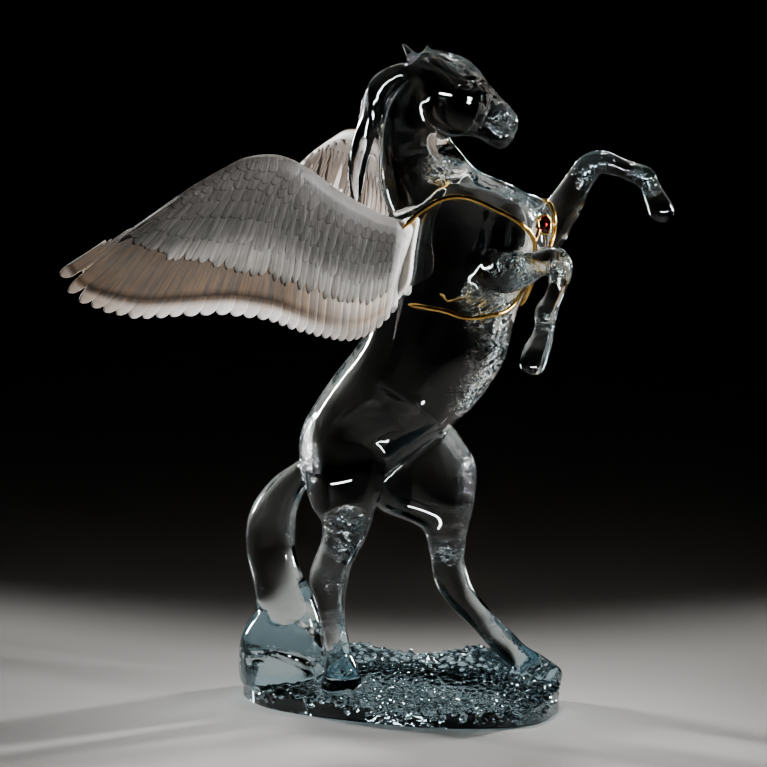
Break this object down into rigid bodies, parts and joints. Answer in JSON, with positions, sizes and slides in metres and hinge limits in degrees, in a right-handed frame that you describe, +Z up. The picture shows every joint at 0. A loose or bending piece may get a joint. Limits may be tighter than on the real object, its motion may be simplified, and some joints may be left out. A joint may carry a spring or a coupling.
{
  "type": "crystal pegasus figurine",
  "caption": "Rearing winged horse in clear crystal on its own rough base, with frosted wings, gold straps and a red stone brooch.",
  "frame": {"origin": "middle of the whole figurine's box, at the base's flat underside", "axes": "+X the way the horse faces, +Z up, the horse's right side at -Y"},
  "size_m": [0.3834, 0.3317, 0.4807],
  "materials": {
    "clear_crystal": "clear, fire polished, rough on the base's top",
    "frosted_crystal": "satin frosted, translucent white",
    "polished_gold": "polished",
    "red_stone": "faceted and polished"
  },
  "bodies": {
    "root": {"crystal_horse": "clear_crystal", "wing_right": "frosted_crystal", "wing_left": "frosted_crystal", "strap_right": "polished_gold", "strap_left": "polished_gold", "brooch_setting": "polished_gold", "brooch_gem": "red_stone"}
  },
  "joints": []
}
